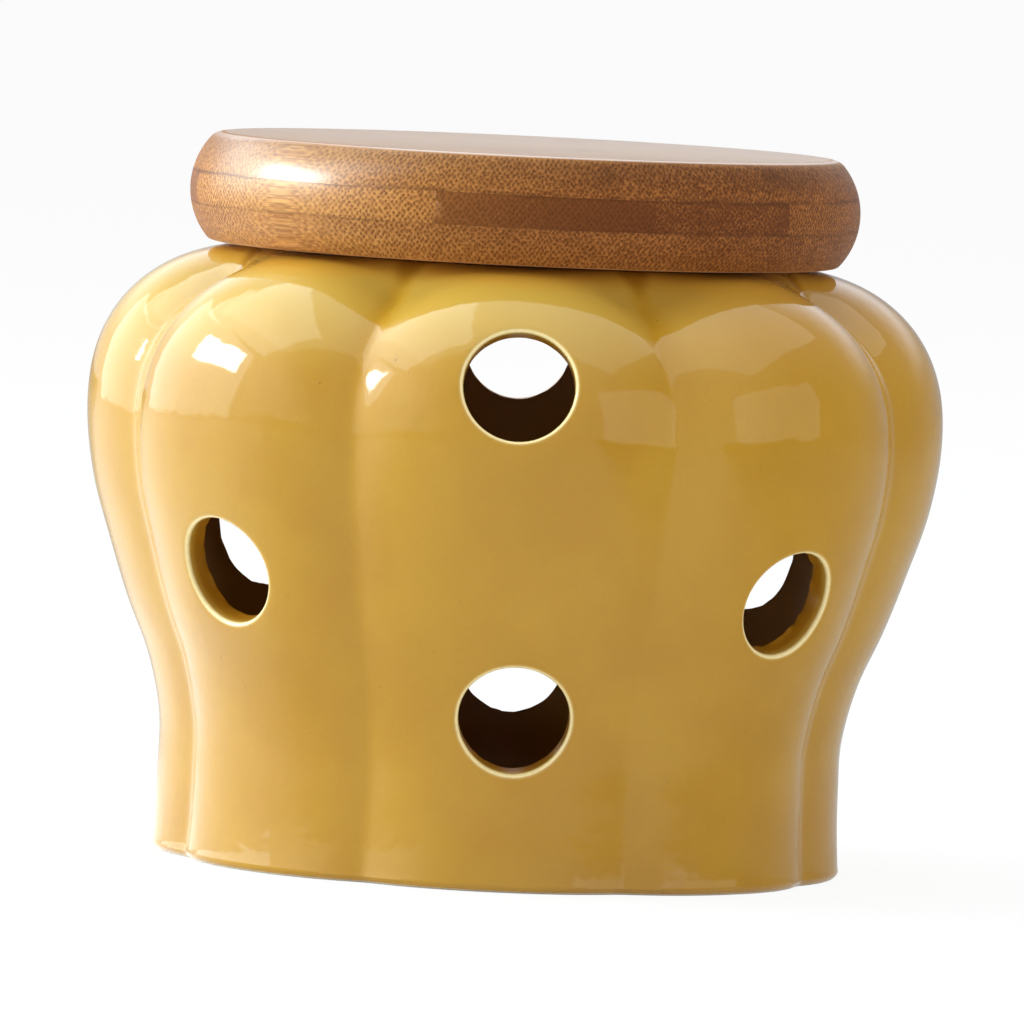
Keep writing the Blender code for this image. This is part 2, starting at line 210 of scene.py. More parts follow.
class Measure:
    """A value that a node tree works out, on which Python's operators add nodes."""

    def __init__(self, recipe, socket):
        self.recipe = recipe
        self.socket = socket

    def maths(self, operation, *values):
        return self.recipe.add("ShaderNodeMath", {"operation": operation}, dict(enumerate(values)))

    def __add__(self, other):
        return self.maths("ADD", self, other)

    def __radd__(self, other):
        return self.maths("ADD", other, self)

    def __sub__(self, other):
        return self.maths("SUBTRACT", self, other)

    def __rsub__(self, other):
        return self.maths("SUBTRACT", other, self)

    def __mul__(self, other):
        return self.maths("MULTIPLY", self, other)

    def __rmul__(self, other):
        return self.maths("MULTIPLY", other, self)

    def __truediv__(self, other):
        return self.maths("DIVIDE", self, other)

    def __rtruediv__(self, other):
        return self.maths("DIVIDE", other, self)

    def __pow__(self, other):
        return self.maths("POWER", self, other)

    def __rpow__(self, other):
        return self.maths("POWER", other, self)

    def __mod__(self, other):
        return self.maths("FLOORED_MODULO", self, other)

    def __rmod__(self, other):
        return self.maths("FLOORED_MODULO", other, self)

    def __abs__(self):
        return self.maths("ABSOLUTE", self)

    def least(self, other):
        return self.maths("MINIMUM", self, other)

    def most(self, other):
        return self.maths("MAXIMUM", self, other)

    def turn_from(self, other):
        """The turn in radians whose sine goes with this value and whose cosine goes with the other."""
        return self.maths("ARCTAN2", self, other)

    def rises(self, start, end):
        """0 up to start and 1 from end, or 1 up to end and 0 from start where end comes first."""
        low, high = min(start, end), max(start, end)
        span = {"Value": self, "From Min": low, "From Max": high}
        ends = {"To Min": float(start > end), "To Max": float(start < end)}
        return self.recipe.add("ShaderNodeMapRange", {"interpolation_type": "SMOOTHSTEP"}, {**span, **ends})


class Recipe:
    """Adds nodes to one tree."""

    def __init__(self, tree):
        self.tree = tree

    def add(self, kind, settings=None, values=None, out=0):
        """Adds a node, sets it up, fills its sockets with values or links, and gives one output."""
        node = self.tree.nodes.new(kind)
        for name, setting in (settings or {}).items():
            setattr(node, name, setting)
        for name, value in (values or {}).items():
            socket = self.find(node.inputs, name)
            if isinstance(value, Measure):
                self.tree.links.new(value.socket, socket)
            else:
                socket.default_value = value
        return None if out is None else Measure(self, self.find(node.outputs, out))

    def parts(self, vector):
        return [self.add("ShaderNodeSeparateXYZ", {}, {0: vector}, out=axis) for axis in range(3)]

    def mix(self, share, first, second, blend="MIX"):
        """The first colour where share is 0, and the second, or their blend, where it is 1."""
        first, second = (c if isinstance(c, Measure) else (*c, 1.0) for c in (first, second))
        settings = {"data_type": "RGBA", "blend_type": blend}
        return self.add("ShaderNodeMix", settings, {"Factor": share, "A": first, "B": second})

    @staticmethod
    def find(sockets, name):
        usable = [socket for socket in sockets if socket.enabled]
        return usable[name] if isinstance(name, int) else next(s for s in usable if s.name == name)


class Finish(Recipe):
    """A material's recipe, in which lengths are in millimetres."""

    def __init__(self, name):
        self.material = bpy.data.materials.new(name)
        self.material.use_nodes = True
        super().__init__(self.material.node_tree)
        self.tree.nodes.clear()

    def mapped(self, coordinates, turn, scale=1.0):
        values = {"Vector": self.add("ShaderNodeTexCoord", out=coordinates), "Rotation": (0, 0, turn)}
        return self.add("ShaderNodeMapping", {"vector_type": "POINT"}, {**values, "Scale": (scale,) * 3})

    def place(self, turn=0.0):
        """Where the surface is, turned about the pot's axis."""
        return self.mapped("Object", turn, 1 / MM)

    def facing(self, turn):
        """The way that the surface faces, turned about the pot's axis."""
        return self.mapped("Normal", turn)

    def attribute(self, name):
        return self.add("ShaderNodeAttribute", {"attribute_name": name}, out="Fac")

    def vector(self, x, y, z):
        return self.add("ShaderNodeCombineXYZ", {}, {0: x, 1: y, 2: z})

    def stretched(self, vector, x, y, z):
        """The vector with each of its parts multiplied."""
        return self.add("ShaderNodeVectorMath", {"operation": "MULTIPLY"}, {0: vector, 1: (x, y, z)})

    def noise(self, vector, scale=1.0, detail=2.0, roughness=0.5):
        """Clouds from about 0.2 to 0.8, so many of them to a millimetre."""
        values = {"Vector": vector, "Scale": scale, "Detail": detail, "Roughness": roughness}
        return self.add("ShaderNodeTexNoise", {}, values)

    def shaded(self, colour, share):
        """The colour times a grey."""
        grey = self.add("ShaderNodeCombineColor", {}, {0: share, 1: share, 2: share})
        return self.mix(1.0, colour, grey, "MULTIPLY")

    def bump(self, height):
        """A normal from a height."""
        return self.add("ShaderNodeBump", {}, {"Height": height, "Distance": MM, "Strength": 1.0})

    def finish(self, colour, roughness, normal, **values):
        shader = {"Base Color": colour, "Roughness": roughness, "Normal": normal, **values}
        surface = self.add("ShaderNodeBsdfPrincipled", {}, shader)
        self.add("ShaderNodeOutputMaterial", {}, {"Surface": surface}, out=None)
        return self.material


# Finishes, with colours as linear light and lengths in millimetres

GLAZE = (0.475, 0.244, 0.011)
GLAZE_DEEP = (0.44, 0.215, 0.008)
GLAZE_GROOVE_SHADOW = (0.3, 0.12, 0.005)
GLAZE_THIN_AND_LIT_CROWN = (0.51, 0.31, 0.05)
GLAZE_CROWN_SHADED_RIGHT = (0.46, 0.235, 0.03)
GLAZE_LIT_UNDER_LID = (0.58, 0.3, 0.035)
GLAZE_THIN = (0.9, 0.72, 0.36)
GLAZE_SHADED = (0.4, 0.16, 0.006)
PIT = (0.16, 0.06, 0.01)
CLAY = (0.72, 0.64, 0.5)
BAMBOO_PALE = (0.66, 0.32, 0.09)
BAMBOO_RED = (0.42, 0.165, 0.04)
END_GRAIN = (0.41, 0.145, 0.033)
END_GRAIN_RED = (0.15, 0.04, 0.008)
FIBRE = (0.18, 0.055, 0.007)
END_FIBRE = (0.09, 0.026, 0.005)
EDGE_GLINT = (0.66, 0.56, 0.54)
SILICONE = (0.78, 0.77, 0.72)
SILICONE_BLOOM = (0.68, 0.66, 0.6)
FUZZ = (0.9, 0.93, 1.0)

# Heights between which the glaze turns to its crown's colour, pale where it is thin and partly painted
# light from above, and then to its rim's colour, painted light in the lid's shadow; the height from
# which more of a groove takes the lid's painted shadow; and how far right the crown turns to painted shade
CROWN_HEIGHTS = (80.0, 94.0)
UNDER_LID_LIGHT_HEIGHTS = (95.5, 99.0)
GROOVE_SHADOW_HEIGHT = 94.5
CROWN_SHADE_RIGHT = (5.0, 45.0)

# Bamboo's bundles of fibre: how far apart they are along a ply and up it
BUNDLE_PITCH = 0.9
BUNDLE_RISE = 1.15

# The turn within which bundles lie long on the lid's side, where it runs along the fibres
LONG_TURN = math.radians(9)

# Heights of the lid's glue lines, and those between which its oil gets glossy and a knuckle shows
LOW_GLUE = (LID_BASE + BOTTOM_PLY) / MM
HIGH_GLUE = (LID_BASE + BOTTOM_PLY + CORE_PLY) / MM
OIL_HEIGHTS = (106.0, 112.0)
KNUCKLE_HEIGHTS = (111.5, 116.0)

# How far from a knuckle the fibres bend, and how far its smudge reaches
KNUCKLE_BEND = 7.0
KNUCKLE_REACH = 3.4

# How much of the sheen of fine fuzz is left on the oiled side, and on the sanded top
OILED_FUZZ = 0.12
SANDED_FUZZ = 0.6


def glaze():
    """Glossy mustard glaze, pale where it is thin on an edge, with painted light and shade on its shoulder.
    """
    made = Finish("yellow_glaze")
    place = made.place()
    x, _, z = made.parts(place)
    edge, bare, inside, in_groove = (made.attribute(mark) for mark in ("edge", "bare", "inside", "in_groove"))
    clouds = made.noise(place, 0.045, 3.0)
    grains = made.noise(place, 1.6, 3.0, 0.6)
    pits = made.noise(place, 0.75, 1.0)
    colour = made.mix(clouds.rises(0.35, 0.65), GLAZE, GLAZE_DEEP)
    colour = made.shaded(colour, 0.94 + grains * 0.12)
    # The crown is paler where the glaze is thin, and is also painted light from above that turns to painted
    # shade towards the right
    crown = made.mix(x.rises(*CROWN_SHADE_RIGHT), GLAZE_THIN_AND_LIT_CROWN, GLAZE_CROWN_SHADED_RIGHT)
    colour = made.mix(z.rises(*CROWN_HEIGHTS) * in_groove.rises(1.2, 0.7), colour, crown)
    # Painted light: the lid's shadow by the rim is lifted and warmed
    colour = made.mix(z.rises(*UNDER_LID_LIGHT_HEIGHTS), colour, GLAZE_LIT_UNDER_LID)
    # Painted shadow: the lid's shadow deepening into each groove near the rim
    groove_shadow = in_groove + (z - GROOVE_SHADOW_HEIGHT) * 0.08
    colour = made.mix(groove_shadow.rises(1.0, 1.3) * 0.8, colour, GLAZE_GROOVE_SHADOW)
    colour = made.mix(inside, colour, GLAZE_SHADED)
    colour = made.mix(pits.rises(0.8, 0.84) * 0.5, colour, PIT)
    colour = made.mix((edge * (0.7 + grains * 0.6)).least(1.0), colour, GLAZE_THIN)
    colour = made.mix(bare, colour, CLAY)
    swirls = made.noise(place, 0.11) * 0.12
    level_streaks = made.noise(made.stretched(place, 0.06, 0.06, 0.8)) * 0.006
    ripples = level_streaks + made.noise(place, 0.45, 1.0) * 0.022
    fine = grains * (0.0012 + bare * 0.05)
    roughness = 0.055 + clouds * 0.03 + inside * 0.3 + bare * 0.6
    return made.finish(colour, roughness, made.bump(swirls + ripples + fine))


def round_the_side(along, across):
    """How far round the lid's side a place is, which changes slowly where the side runs along the fibres."""
    turn = along.turn_from(abs(across))
    eased = (turn * turn + LONG_TURN**2) ** 0.5
    return across.maths("SIGN", across) * (math.hypot(math.pi / 2, LONG_TURN) - eased) * (LID_RADIUS / MM)


def bundle_ends(made, around, up, rough, shift):
    """Dots in slanting rows where bundles of fibre come to the surface, some of them fainter."""
    side = around / BUNDLE_PITCH + shift
    rise = up / BUNDLE_RISE + shift * 2.3
    lattice = {"Vector": made.vector(side + rise + rough, side - rise, 0.0), "Scale": 1.0, "Randomness": 0.45}
    bundles = made.add("ShaderNodeTexVoronoi", {"voronoi_dimensions": "2D", "feature": "F1"}, lattice)
    grit = made.noise(made.vector(side * 0.9, rise * 0.9, shift), roughness=0.6)
    return bundles.rises(0.52, 0.16) * (0.25 + grit).least(1.0)


def bamboo(name, sheen):
    """Laminated bamboo, oiled on its side and left dry on its flat top, with so much sheen.

    Bundles of fibre end as dark dots on the side, and lie as threads where it runs along them.
    """
    made = Finish(name)
    along, across, up = made.parts(made.place(-FIBRE_TURN))
    facing_along, _, facing_up = made.parts(made.facing(-FIBRE_TURN))
    tone, shift, knuckle = (made.attribute(mark) for mark in ("tone", "shift", "knuckle"))
    ends = abs(facing_along)
    lengthwise = ends.rises(0.3, 0.0)
    side_only = abs(facing_up).rises(0.97, 0.75)
    flat = facing_up.rises(0.97, 0.995)

    # The fibres drift, and bend at a knuckle
    from_knuckle = along - knuckle
    near = abs(from_knuckle).rises(KNUCKLE_BEND, 0.0)
    drift = made.noise(made.vector(along * 0.03, across * 0.12, shift), detail=1.0)
    bend = made.noise(made.vector(from_knuckle * 0.2, across * 0.3, shift)) - 0.5
    sway = (drift - 0.5) * 3.0 + near * bend * 2.0

    # Their bundles show as dots and threads
    around = round_the_side(along, across)
    specks = made.noise(made.vector(around * 2.2, up * 2.2, shift), roughness=0.7)
    thread_place = made.vector(along * 0.035, (across + sway) * 2.6, up * 2.6)
    threads = made.noise(thread_place, detail=3.0, roughness=0.6)
    broad = made.noise(made.vector(along * 0.012, across * 0.22, up * 0.3 + shift))
    bundles = bundle_ends(made, around + sway, up + sway * 0.3, (specks - 0.5) * 1.2, shift)
    dots = bundles * (1 - lengthwise * 0.5) * side_only
    shade = tone + (broad - 0.5) * 0.7 + (threads - 0.5) * 0.55 + (specks - 0.5) * side_only * 2.6
    colour = made.mix(shade, BAMBOO_RED, BAMBOO_PALE)
    colour = made.mix(ends.rises(-0.2, 0.95), colour, made.mix(shade, END_GRAIN_RED, END_GRAIN))
    dark = made.mix(ends, FIBRE, END_FIBRE)
    colour = made.mix(dots, colour, dark)
    colour = made.mix(lengthwise * threads.rises(0.45, 0.65) * 0.6, colour, FIBRE)

    # A knuckle's smudge, and smears along the glue lines
    ring = abs(from_knuckle + (drift - 0.5) * 5.0)
    strength = 0.6 - facing_up.rises(0.6, 0.9) * 0.35
    smudge = ring.rises(KNUCKLE_REACH, 0.4) * up.rises(*KNUCKLE_HEIGHTS) * strength
    colour = made.mix(smudge, colour, dark)
    smears = made.noise(made.vector(along * 0.06, across * 0.06, up * 0.8 + shift)).rises(0.4, 0.6)
    glue = abs(up - HIGH_GLUE).rises(0.7, 0.1) * 0.6 + abs(up - LOW_GLUE).rises(0.5, 0.1) * 0.3
    colour = made.mix(glue * smears, colour, END_FIBRE)

    # Painted shade darkens what faces up, and the flat top more, and a painted highlight lies as a pale line
    # along the top's edge on one side
    colour = made.shaded(colour, 1 - facing_up.rises(0.2, 0.7) * 0.28 - flat * 0.12)
    # A painted highlight: the pale reflection along the rounded top edge
    edge_glint = facing_up.rises(0.88, 0.93) * facing_up.rises(0.999, 0.99) * along.rises(0.0, 25.0)
    colour = made.mix(edge_glint * 0.45, colour, EDGE_GLINT)

    # Oil shines on the side, and less on the rounded edge above it
    rounded = facing_up.rises(0.4, 0.6) * facing_up.rises(0.97, 0.88) * along.rises(-20.0, 10.0)
    coat = ends.rises(0.5, 0.12) * (0.2 + up.rises(*OIL_HEIGHTS) * 0.76) * (1 - rounded * 0.7 - flat)
    oil = {"Specular IOR Level": 0.12, "Coat Weight": coat, "Coat Roughness": 0.24, "Coat IOR": 1.6}
    fuzz = {"Sheen Weight": sheen, "Sheen Roughness": 0.3, "Sheen Tint": (*FUZZ, 1.0)}
    roughness = 0.45 + threads * 0.12 + dots * 0.1 + flat * 0.4
    grain = threads * 0.05 - dots * 0.05 + ring.rises(0.8, 0.0) * 0.05
    return made.finish(colour, roughness, made.bump(grain), **oil, **fuzz)


def silicone():
    """Soft white silicone with a faint bloom."""
    made = Finish("silicone")
    place = made.place()
    bloom = made.noise(place, 0.3, 3.0)
    dust = made.noise(place, 4.0)
    colour = made.mix(bloom, SILICONE, SILICONE_BLOOM)
    return made.finish(colour, 0.4 + bloom * 0.15, made.bump(dust * 0.01))


# Shapes


def level_curve(knots, x):
    """Reads at x the smooth curve through the knots, which starts and ends level."""
    places, heights = (np.array(column) for column in zip(*knots))
    slopes = np.zeros(len(knots))
    slopes[1:-1] = (heights[2:] - heights[:-2]) / (places[2:] - places[:-2])
    x = np.clip(x, places[0], places[-1])
    i = np.clip(np.searchsorted(places, x) - 1, 0, len(knots) - 2)
    span = places[i + 1] - places[i]
    t = (x - places[i]) / span
    rise = heights[i] + (heights[i + 1] - heights[i]) * (3 - 2 * t) * t**2
    return rise + span * (slopes[i] * t * (1 - t) ** 2 - slopes[i + 1] * (1 - t) * t**2)


def arc(centre, radius, start, stop, steps):
    """(radius, height) points of an arc, with angles in degrees from the outward direction."""
    turns = [math.radians(start + (stop - start) * i / steps) for i in range(steps + 1)]
    return [(centre[0] + radius * math.cos(a), centre[1] + radius * math.sin(a)) for a in turns]


def polar(turn, radius, height):
    return np.stack(np.broadcast_arrays(radius * np.sin(turn), -radius * np.cos(turn), height), axis=-1)


def nearest_turn(turn):
    """The same turn between half a circle back and half a circle on."""
    return (turn + math.pi) % math.tau - math.pi


def add_piece(name, mesh, finish, body, node):
    """Shows a finished mesh as a piece that stands for a CAD node."""
    mesh.shade_smooth()
    mesh.set_sharp_from_angle(angle=SHARP)
    mesh.materials.clear()
    mesh.materials.append(finish)
    piece = bpy.data.objects.new(name, mesh)
    bpy.context.scene.collection.objects.link(piece)
    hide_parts(node)
    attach(piece, body)


# The pot's wall


def wall_curve():
    """Radius and height up the middle of a lobe, closely spaced from the foot to the mouth."""
    heights = np.linspace(FOOT_EDGE, BELLY_HEIGHT, CURVE_SAMPLES)
    way = (heights - WAIST_HEIGHT) / (BELLY_HEIGHT - WAIST_HEIGHT)
    swell = (BELLY_RADIUS - WAIST_RADIUS) * level_curve(SWELL_SHARES, way)
    flare = (FOOT_RADIUS - WAIST_RADIUS) * np.clip(1 - heights / WAIST_HEIGHT, 0, None) ** 2
    centre = MOUTH_RADIUS + RIM_EDGE - SHOULDER_RUN_IN
    reach = BELLY_RADIUS - centre
    turns = np.linspace(0, math.acos((SHOULDER_RUN_IN / reach) ** (SHOULDER_POWER / 2)), CURVE_SAMPLES)
    out = np.cos(turns[1:]) ** (2 / SHOULDER_POWER)
    up = np.sin(turns[1:]) ** (2 / SHOULDER_POWER)
    radii = np.concatenate([WAIST_RADIUS + swell + flare, centre + reach * out])
    heights = np.concatenate([heights, BELLY_HEIGHT + SHOULDER_HEIGHT * up / up[-1]])
    return radii, heights


WALL_RADII, WALL_HEIGHTS = wall_curve()
WALL_LENGTHS = np.concatenate([[0], np.cumsum(np.hypot(np.diff(WALL_RADII), np.diff(WALL_HEIGHTS)))])
WALL_LENGTH = WALL_LENGTHS[-1]
ROW_LENGTH = WALL_LENGTH / WALL_ROWS


def groove_share(turn):
    """0 over the middle of a lobe, and 1 at the bottom of the groove between two lobes."""
    from_middle = abs((turn * LOBES / math.tau + 0.5) % 1 - 0.5) * 2
    rounded = np.hypot(1 - from_middle, VALLEY_SHARE) - VALLEY_SHARE
    return (1 - rounded / (math.hypot(1, VALLEY_SHARE) - VALLEY_SHARE)) ** LOBE_POWER


def wall(length, turn, depth=0.0):
    """Points of the wall before it is fluted, each with the way inwards and the groove's depth there."""
    radius, height = (np.interp(length, WALL_LENGTHS, line) for line in (WALL_RADII, WALL_HEIGHTS))
    ends = [np.clip(length + side, 0, WALL_LENGTH) for side in (-ROW_LENGTH / 2, ROW_LENGTH / 2)]
    run, rise = (
        np.interp(ends[1], WALL_LENGTHS, line) - np.interp(ends[0], WALL_LENGTHS, line)
        for line in (WALL_RADII, WALL_HEIGHTS)
    )
    slope = np.hypot(run, rise)
    inward = polar(turn, -rise / slope, run / slope)
    groove = level_curve(GROOVE_KNOTS, length / WALL_LENGTH) + 0 * turn
    place = polar(turn, radius, height) + inward * np.expand_dims(depth + 0 * turn, -1)
    return np.concatenate([place, inward, groove[..., None]], axis=-1)


def level_ring(turn, radius, height, groove):
    """A level ring of points, which the fluting moves inwards by up to groove."""
    inward = polar(turn, -1.0, 0.0)
    return np.concatenate([polar(turn, radius, height), inward, np.full((len(turn), 1), groove)], axis=-1)


def fluted(rows, turn):
    return rows[..., :3] + rows[..., 3:6] * (rows[..., 6] * groove_share(turn))[..., None]


def column_turns():
    """The turns of the wall's columns, which crowd towards the grooves."""
    even = 2 * np.arange(LOBE_COLUMNS) / LOBE_COLUMNS - 1
    crowded = (1 - COLUMN_CROWDING) * even + COLUMN_CROWDING * np.sin(even * math.pi / 2)
    lobes = np.arange(LOBES)[:, None]
    return (math.tau * (lobes + crowded / 2) / LOBES).ravel()


class Drill:
    """A drill square to the wall but for its tip, and where on the wall it cuts."""

    def __init__(self, turn, tip, height):
        self.length = float(np.interp(height, WALL_HEIGHTS, WALL_LENGTHS))
        self.turn = math.radians(turn)
        ends = [Vector(self.on_wall(self.length + side, self.turn, 0.0)) for side in (-VENT_EDGE, VENT_EDGE)]
        self.across = Vector((math.cos(self.turn), math.sin(self.turn), 0))
        self.up = (ends[1] - ends[0]).normalized()
        self.up.rotate(Matrix.Rotation(math.radians(tip), 3, self.across))
        self.middle = self.on_wall(self.length, self.turn, 0.0)

    @staticmethod
    def on_wall(length, turn, depth):
        turn = np.asarray(turn)
        return fluted(wall(length, turn, depth), turn)

    def circle(self, radius, way, depth):
        """The lengths and turns at which the wall, this deep, is this far from the drill's axis."""
        length = self.length + radius * np.sin(way)
        turn = self.turn + radius * np.cos(way) / BELLY_RADIUS
        for _ in range(DRILL_STEPS):
            place = self.on_wall(length, turn, depth) - self.middle
            length = length + radius * np.sin(way) - place @ np.array(self.up)
            turn = turn + (radius * np.cos(way) - place @ np.array(self.across)) / BELLY_RADIUS
        return length, turn


class Clay:
    """The points and faces of the pot as they are laid down, with its level rings on these turns."""

    def __init__(self, turns):
        self.turns = turns
        self.rows = []
        self.faces = []
        self.count = 0

    def lay(self, rows, edge=0.0, bare=0.0, inside=0.0):
        """Adds points that may be thinly glazed, bare or inside the pot, and gives their numbers."""
        marks = [np.broadcast_to(mark, rows.shape[:-1])[..., None] for mark in (edge, bare, inside)]
        rows = np.concatenate([rows, *marks], axis=-1)
        numbers = self.count + np.arange(rows[..., 0].size).reshape(rows.shape[:-1])
        self.rows.append(rows.reshape(-1, rows.shape[-1]))
        self.count += numbers.size
        return numbers

    def ring(self, radius, height, groove=0.0, **marks):
        return self.lay(level_ring(self.turns, radius, height, groove), **marks)

    def skin(self, rings, keep=None):
        """Joins each closed ring to the next with quads, but not where keep is false."""
        low, high = rings[:-1], rings[1:]
        quads = np.stack([low, np.roll(low, -1, 1), np.roll(high, -1, 1), high], axis=-1)
        self.faces.extend(quads[keep].tolist() if keep is not None else quads.reshape(-1, 4).tolist())

    def mesh(self, name):
        rows = np.concatenate(self.rows)
        used = np.unique(np.concatenate([np.array(face) for face in self.faces]))
        place_of = np.zeros(len(rows), int)
        place_of[used] = np.arange(len(used))
        mesh = bpy.data.meshes.new(name)
        mesh.from_pydata(rows[used, :3], [], [[place_of[corner] for corner in face] for face in self.faces])
        inward = mesh.attributes.new("inward", "FLOAT_VECTOR", "POINT")
        inward.data.foreach_set("vector", rows[used, 3:6].ravel())
        for column, mark in enumerate(("groove", "edge", "bare", "inside"), start=6):
            mesh.attributes.new(mark, "FLOAT", "POINT").data.foreach_set("value", rows[used, column].copy())
        return mesh


def cut_vent(clay, vent, outer, inner, order):
    """Opens a vent in its window of the wall, and gives the quads of the wall that the window takes.

    The vent has a rounded edge outside and a sharp, ragged one inside.
    """
    *placing, rag = vent
    drill = Drill(*placing)
    wide, tall = WINDOW_COLUMNS, WINDOW_ROWS
    row = round(drill.length / ROW_LENGTH) - tall // 2
    column = np.argmin(abs(nearest_turn(clay.turns - drill.turn))) - wide // 2
    loop = [(row, column + i) for i in range(wide)]
    loop += [(row + i, column + wide) for i in range(tall)]
    loop += [(row + tall, column + wide - i) for i in range(wide)]
    loop += [(row + tall - i, column) for i in range(tall)]
    rows, columns = np.array(loop).T
    columns %= len(clay.turns)
    lengths = rows * ROW_LENGTH
    around = drill.turn + nearest_turn(clay.turns[columns] - drill.turn)
    way = np.unwrap(np.arctan2(lengths - drill.length, (around - drill.turn) * BELLY_RADIUS))
    rng = np.random.default_rng(order)
    chips = sum(rng.normal() * np.sin(way * k + rng.uniform(0, math.tau)) / k**0.5 for k in CHIP_WAVES)

    def ring(radius, depth, share=1.0, edge=0.0, inside=0.0):
        """Points that share of the way from the window's frame to the drill's circle."""
        length, turn = drill.circle(radius, way, depth)
        length = lengths + (length - lengths) * share
        turn = around + (turn - around) * share
        return clay.lay(wall(length, turn, depth), edge, inside=inside)

    reach = VENT_RADIUS + VENT_EDGE
    rings = [outer[rows, columns]]
    for k in range(1, WINDOW_RINGS + 1):
        rings.append(ring(reach, 0.0, k / WINDOW_RINGS))
    for k, thin in enumerate(THIN_GLAZE, start=1):
        lean = math.pi / 2 * k / len(THIN_GLAZE)
        depth = VENT_EDGE * (1 - math.cos(lean))
        rings.append(ring(reach - VENT_EDGE * math.sin(lean), depth, edge=thin))
    for k in range(1, BORE_RINGS + 1):
        depth = VENT_EDGE + (WALL - VENT_EDGE) * (k / BORE_RINGS) ** BORE_CROWDING
        rings.append(ring(VENT_RADIUS + rag * CHIP_SHARE * chips * (k == BORE_RINGS), depth, inside=1.0))
    for k in range(WINDOW_RINGS - 1, 0, -1):
        rings.append(ring(VENT_RADIUS, WALL, k / WINDOW_RINGS, inside=1.0))
    rings.append(inner[rows, columns])
    clay.skin(np.array(rings))
    return [(row + i, (column + j) % len(clay.turns)) for i in range(tall) for j in range(wide)]


def lay_foot(clay):
    """Rings from the middle of the underside over the bare foot ring to the foot's rounded edge."""
    rings = [clay.ring(RECESS_PITCH * k, FOOT_RECESS) for k in range(1, RECESS_RINGS + 1)]
    recess = FOOT_RADIUS - FOOT_GROOVE - FOOT_EDGE - FOOT_RING_WIDTH
    for share in np.arange(FOOT_STEPS + 1) / FOOT_STEPS:
        radius = recess - FOOT_RECESS * (1 - share)
        rings.append(clay.ring(radius, FOOT_RECESS * math.cos(math.pi / 2 * share), bare=share))
    for share in np.arange(1, FOOT_STEPS) / FOOT_STEPS:
        radius = recess + share * (FOOT_RADIUS - FOOT_EDGE - recess)
        rings.append(clay.ring(radius, 0.0, FOOT_GROOVE * share, bare=1.0))
    for radius, height in arc((FOOT_RADIUS - FOOT_EDGE, FOOT_EDGE), FOOT_EDGE, -90, 0, EDGE_STEPS)[:-1]:
        rings.append(clay.ring(radius, height, FOOT_GROOVE, bare=float(height < BARE_HEIGHT)))
    return rings


def lay_mouth(clay):
    """Rings from the shoulder over the mouth's rounded edge and in under it."""
    mouth = arc((MOUTH_RADIUS + RIM_EDGE, POT_HEIGHT - RIM_EDGE), RIM_EDGE, 90, 180, EDGE_STEPS)[1:]
    mouth += arc((MOUTH_RADIUS + RIM_EDGE, POT_HEIGHT - WALL + RIM_EDGE), RIM_EDGE, 180, 270, UNDER_RIM_STEPS)
    return [clay.ring(radius, height) for radius, height in mouth]


def lay_floor(clay, row):
    """Rings from this row of the wall's inside round the floor's corner to the floor's middle."""
    edge = wall(row * ROW_LENGTH, clay.turns[:1], WALL)[0]
    radius, height, groove = math.hypot(edge[0], edge[1]), edge[2], edge[6]
    rings = []
    for out, down in arc((0, 0), 1.0, 0, -90, CORNER_STEPS)[1:]:
        level = FLOOR_HEIGHT + (height - FLOOR_HEIGHT) * (1 + down)
        rings.append(clay.ring(radius - FLOOR_CORNER * (1 - out), level, groove, inside=1.0))
    for share in 1 - np.arange(1, FLOOR_STEPS) / FLOOR_STEPS:
        rings.append(clay.ring((radius - FLOOR_CORNER) * share, FLOOR_HEIGHT, groove * share, inside=1.0))
    return rings


def pot_mesh():
    """The pot as if it were round, with its vents, a foot ring and a rounded mouth."""
    turns = column_turns()
    clay = Clay(turns)
    grid = np.broadcast_arrays(ROW_LENGTH * np.arange(WALL_ROWS + 1)[:, None], turns[None, :])
    outer = clay.lay(wall(*grid))
    inner = clay.lay(wall(*grid, WALL), inside=1.0)
    whole = np.ones((WALL_ROWS, len(turns)), bool)
    for order, vent in enumerate(VENTS):
        for spot in cut_vent(clay, vent, outer, inner, order):
            whole[spot] = False
    clay.skin(outer, whole)

    foot = lay_foot(clay)
    clay.skin(np.array([*foot, outer[0]]))
    clay.faces.append(foot[0][::-1].tolist())

    clay.skin(np.array([outer[-1], *lay_mouth(clay), inner[WALL_ROWS - 2]]))
    last = int(np.interp(FLOOR_HEIGHT + FLOOR_CORNER, WALL_HEIGHTS, WALL_LENGTHS) / ROW_LENGTH) + 1
    clay.skin(inner[last : WALL_ROWS - 1][::-1], whole[last : WALL_ROWS - 2][::-1])

    floor = lay_floor(clay, last)
    clay.skin(np.array([inner[last], *floor]))
    clay.faces.append(floor[-1].tolist())
    return clay.mesh("glazed_pot")


